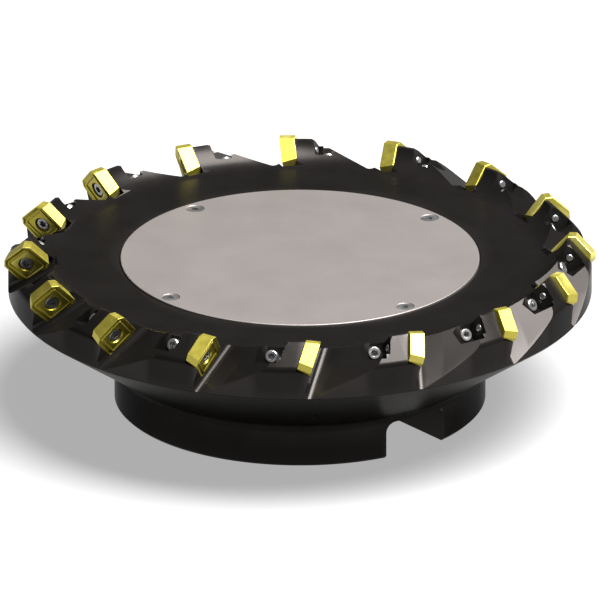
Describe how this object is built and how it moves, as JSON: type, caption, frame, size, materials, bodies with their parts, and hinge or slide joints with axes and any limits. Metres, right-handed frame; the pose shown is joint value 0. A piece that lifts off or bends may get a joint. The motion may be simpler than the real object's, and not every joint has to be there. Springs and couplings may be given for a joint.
{
  "type": "face mill",
  "caption": "Shell face mill: keyed, bored cutter body with screw-clamped square inserts at 45 degrees round its rim and a screwed cover plate.",
  "frame": {"origin": "centre of the hub's back face, on the spindle axis", "axes": "+Z along the spindle axis towards the cutting face; the two drive keyways lie along X"},
  "size_m": [0.2172, 0.2172, 0.0632],
  "materials": {
    "body": "black oxide on machined steel, satin",
    "cover": "fine matt ground steel",
    "cover_screw": "plain satin steel",
    "insert": "titanium-nitride coated carbide, satin gold",
    "insert_screw": "plain satin steel",
    "locking_screw": "bright turned steel"
  },
  "bodies": {
    "cutter": {"cutter_body": "body", "insert_01": "insert", "insert_02": "insert", "insert_03": "insert", "insert_04": "insert", "insert_05": "insert", "insert_06": "insert", "insert_07": "insert", "insert_08": "insert", "insert_09": "insert", "insert_10": "insert", "insert_11": "insert", "insert_12": "insert", "insert_13": "insert", "insert_14": "insert", "insert_15": "insert", "insert_16": "insert"},
    "cover": {"cover_plate": "cover"},
    "cover_screw_1": {"cover_screw_1": "cover_screw"},
    "cover_screw_2": {"cover_screw_2": "cover_screw"},
    "cover_screw_3": {"cover_screw_3": "cover_screw"},
    "cover_screw_4": {"cover_screw_4": "cover_screw"},
    "insert_screw_01": {"insert_screw_01": "insert_screw"},
    "insert_screw_02": {"insert_screw_02": "insert_screw"},
    "insert_screw_03": {"insert_screw_03": "insert_screw"},
    "insert_screw_04": {"insert_screw_04": "insert_screw"},
    "insert_screw_05": {"insert_screw_05": "insert_screw"},
    "insert_screw_06": {"insert_screw_06": "insert_screw"},
    "insert_screw_07": {"insert_screw_07": "insert_screw"},
    "insert_screw_08": {"insert_screw_08": "insert_screw"},
    "insert_screw_09": {"insert_screw_09": "insert_screw"},
    "insert_screw_10": {"insert_screw_10": "insert_screw"},
    "insert_screw_11": {"insert_screw_11": "insert_screw"},
    "insert_screw_12": {"insert_screw_12": "insert_screw"},
    "insert_screw_13": {"insert_screw_13": "insert_screw"},
    "insert_screw_14": {"insert_screw_14": "insert_screw"},
    "insert_screw_15": {"insert_screw_15": "insert_screw"},
    "insert_screw_16": {"insert_screw_16": "insert_screw"},
    "locking_screw_01": {"locking_screw_01": "locking_screw"},
    "locking_screw_02": {"locking_screw_02": "locking_screw"},
    "locking_screw_03": {"locking_screw_03": "locking_screw"},
    "locking_screw_04": {"locking_screw_04": "locking_screw"},
    "locking_screw_05": {"locking_screw_05": "locking_screw"},
    "locking_screw_06": {"locking_screw_06": "locking_screw"},
    "locking_screw_07": {"locking_screw_07": "locking_screw"},
    "locking_screw_08": {"locking_screw_08": "locking_screw"},
    "locking_screw_09": {"locking_screw_09": "locking_screw"},
    "locking_screw_10": {"locking_screw_10": "locking_screw"},
    "locking_screw_11": {"locking_screw_11": "locking_screw"},
    "locking_screw_12": {"locking_screw_12": "locking_screw"},
    "locking_screw_13": {"locking_screw_13": "locking_screw"},
    "locking_screw_14": {"locking_screw_14": "locking_screw"},
    "locking_screw_15": {"locking_screw_15": "locking_screw"},
    "locking_screw_16": {"locking_screw_16": "locking_screw"}
  },
  "joints": [
    {"name": "cover_lift", "type": "slide", "parent": "cutter", "child": "cover", "axis": [0, 0, 1], "range_m": [0, 0.03]},
    {"name": "cover_screw_1_turn", "type": "hinge", "parent": "cover", "child": "cover_screw_1", "pos_m": [0.0617, 0, 0.0557], "axis": [0, 0, 1], "range_deg": [0, 3930]},
    {"name": "cover_screw_2_turn", "type": "hinge", "parent": "cover", "child": "cover_screw_2", "pos_m": [0, 0.0617, 0.0557], "axis": [0, 0, 1], "range_deg": [0, 3930]},
    {"name": "cover_screw_3_turn", "type": "hinge", "parent": "cover", "child": "cover_screw_3", "pos_m": [-0.0617, 0, 0.0557], "axis": [0, 0, 1], "range_deg": [0, 3930]},
    {"name": "cover_screw_4_turn", "type": "hinge", "parent": "cover", "child": "cover_screw_4", "pos_m": [0, -0.0617, 0.0557], "axis": [0, 0, 1], "range_deg": [0, 3930]},
    {"name": "insert_screw_01_turn", "type": "hinge", "parent": "cutter", "child": "insert_screw_01", "pos_m": [0.10018, 0.01569, 0.0546], "axis": [0.0235, 0.9615, -0.274], "range_deg": [0, 2970]},
    {"name": "insert_screw_02_turn", "type": "hinge", "parent": "cutter", "child": "insert_screw_02", "pos_m": [0.08655, 0.05283, 0.0546], "axis": [-0.3462, 0.8973, -0.274], "range_deg": [0, 2970]},
    {"name": "insert_screw_03_turn", "type": "hinge", "parent": "cutter", "child": "insert_screw_03", "pos_m": [0.05974, 0.08193, 0.0546], "axis": [-0.6632, 0.6965, -0.274], "range_deg": [0, 2970]},
    {"name": "insert_screw_04_turn", "type": "hinge", "parent": "cutter", "child": "insert_screw_04", "pos_m": [0.02384, 0.09856, 0.0546], "axis": [-0.8793, 0.3896, -0.274], "range_deg": [0, 2970]},
    {"name": "insert_screw_05_turn", "type": "hinge", "parent": "cutter", "child": "insert_screw_05", "pos_m": [-0.01569, 0.10018, 0.0546], "axis": [-0.9615, 0.0235, -0.274], "range_deg": [0, 2970]},
    {"name": "insert_screw_06_turn", "type": "hinge", "parent": "cutter", "child": "insert_screw_06", "pos_m": [-0.05283, 0.08655, 0.0546], "axis": [-0.8973, -0.3462, -0.274], "range_deg": [0, 2970]},
    {"name": "insert_screw_07_turn", "type": "hinge", "parent": "cutter", "child": "insert_screw_07", "pos_m": [-0.08193, 0.05974, 0.0546], "axis": [-0.6965, -0.6632, -0.274], "range_deg": [0, 2970]},
    {"name": "insert_screw_08_turn", "type": "hinge", "parent": "cutter", "child": "insert_screw_08", "pos_m": [-0.09856, 0.02384, 0.0546], "axis": [-0.3896, -0.8793, -0.274], "range_deg": [0, 2970]},
    {"name": "insert_screw_09_turn", "type": "hinge", "parent": "cutter", "child": "insert_screw_09", "pos_m": [-0.10018, -0.01569, 0.0546], "axis": [-0.0235, -0.9615, -0.274], "range_deg": [0, 2970]},
    {"name": "insert_screw_10_turn", "type": "hinge", "parent": "cutter", "child": "insert_screw_10", "pos_m": [-0.08655, -0.05283, 0.0546], "axis": [0.3462, -0.8973, -0.274], "range_deg": [0, 2970]},
    {"name": "insert_screw_11_turn", "type": "hinge", "parent": "cutter", "child": "insert_screw_11", "pos_m": [-0.05974, -0.08193, 0.0546], "axis": [0.6632, -0.6965, -0.274], "range_deg": [0, 2970]},
    {"name": "insert_screw_12_turn", "type": "hinge", "parent": "cutter", "child": "insert_screw_12", "pos_m": [-0.02384, -0.09856, 0.0546], "axis": [0.8793, -0.3896, -0.274], "range_deg": [0, 2970]},
    {"name": "insert_screw_13_turn", "type": "hinge", "parent": "cutter", "child": "insert_screw_13", "pos_m": [0.01569, -0.10018, 0.0546], "axis": [0.9615, -0.0235, -0.274], "range_deg": [0, 2970]},
    {"name": "insert_screw_14_turn", "type": "hinge", "parent": "cutter", "child": "insert_screw_14", "pos_m": [0.05283, -0.08655, 0.0546], "axis": [0.8973, 0.3462, -0.274], "range_deg": [0, 2970]},
    {"name": "insert_screw_15_turn", "type": "hinge", "parent": "cutter", "child": "insert_screw_15", "pos_m": [0.08193, -0.05974, 0.0546], "axis": [0.6965, 0.6632, -0.274], "range_deg": [0, 2970]},
    {"name": "insert_screw_16_turn", "type": "hinge", "parent": "cutter", "child": "insert_screw_16", "pos_m": [0.09856, -0.02384, 0.0546], "axis": [0.3896, 0.8793, -0.274], "range_deg": [0, 2970]},
    {"name": "locking_screw_01_turn", "type": "hinge", "parent": "cutter", "child": "locking_screw_01", "pos_m": [0.0985, -0.00052, 0.0559], "axis": [0.8959, -0.0721, 0.4384], "range_deg": [0, 3630]},
    {"name": "locking_screw_02_turn", "type": "hinge", "parent": "cutter", "child": "locking_screw_02", "pos_m": [0.0912, 0.03722, 0.0559], "axis": [0.8553, 0.2763, 0.4384], "range_deg": [0, 3630]},
    {"name": "locking_screw_03_turn", "type": "hinge", "parent": "cutter", "child": "locking_screw_03", "pos_m": [0.07001, 0.06928, 0.0559], "axis": [0.6845, 0.5825, 0.4384], "range_deg": [0, 3630]},
    {"name": "locking_screw_04_turn", "type": "hinge", "parent": "cutter", "child": "locking_screw_04", "pos_m": [0.03817, 0.0908, 0.0559], "axis": [0.4094, 0.8001, 0.4384], "range_deg": [0, 3630]},
    {"name": "locking_screw_05_turn", "type": "hinge", "parent": "cutter", "child": "locking_screw_05", "pos_m": [0.00052, 0.0985, 0.0559], "axis": [0.0721, 0.8959, 0.4384], "range_deg": [0, 3630]},
    {"name": "locking_screw_06_turn", "type": "hinge", "parent": "cutter", "child": "locking_screw_06", "pos_m": [-0.03722, 0.0912, 0.0559], "axis": [-0.2763, 0.8553, 0.4384], "range_deg": [0, 3630]},
    {"name": "locking_screw_07_turn", "type": "hinge", "parent": "cutter", "child": "locking_screw_07", "pos_m": [-0.06928, 0.07001, 0.0559], "axis": [-0.5825, 0.6845, 0.4384], "range_deg": [0, 3630]},
    {"name": "locking_screw_08_turn", "type": "hinge", "parent": "cutter", "child": "locking_screw_08", "pos_m": [-0.0908, 0.03817, 0.0559], "axis": [-0.8001, 0.4094, 0.4384], "range_deg": [0, 3630]},
    {"name": "locking_screw_09_turn", "type": "hinge", "parent": "cutter", "child": "locking_screw_09", "pos_m": [-0.0985, 0.00052, 0.0559], "axis": [-0.8959, 0.0721, 0.4384], "range_deg": [0, 3630]},
    {"name": "locking_screw_10_turn", "type": "hinge", "parent": "cutter", "child": "locking_screw_10", "pos_m": [-0.0912, -0.03722, 0.0559], "axis": [-0.8553, -0.2763, 0.4384], "range_deg": [0, 3630]},
    {"name": "locking_screw_11_turn", "type": "hinge", "parent": "cutter", "child": "locking_screw_11", "pos_m": [-0.07001, -0.06928, 0.0559], "axis": [-0.6845, -0.5825, 0.4384], "range_deg": [0, 3630]},
    {"name": "locking_screw_12_turn", "type": "hinge", "parent": "cutter", "child": "locking_screw_12", "pos_m": [-0.03817, -0.0908, 0.0559], "axis": [-0.4094, -0.8001, 0.4384], "range_deg": [0, 3630]},
    {"name": "locking_screw_13_turn", "type": "hinge", "parent": "cutter", "child": "locking_screw_13", "pos_m": [-0.00052, -0.0985, 0.0559], "axis": [-0.0721, -0.8959, 0.4384], "range_deg": [0, 3630]},
    {"name": "locking_screw_14_turn", "type": "hinge", "parent": "cutter", "child": "locking_screw_14", "pos_m": [0.03722, -0.0912, 0.0559], "axis": [0.2763, -0.8553, 0.4384], "range_deg": [0, 3630]},
    {"name": "locking_screw_15_turn", "type": "hinge", "parent": "cutter", "child": "locking_screw_15", "pos_m": [0.06928, -0.07001, 0.0559], "axis": [0.5825, -0.6845, 0.4384], "range_deg": [0, 3630]},
    {"name": "locking_screw_16_turn", "type": "hinge", "parent": "cutter", "child": "locking_screw_16", "pos_m": [0.0908, -0.03817, 0.0559], "axis": [0.8001, -0.4094, 0.4384], "range_deg": [0, 3630]}
  ]
}
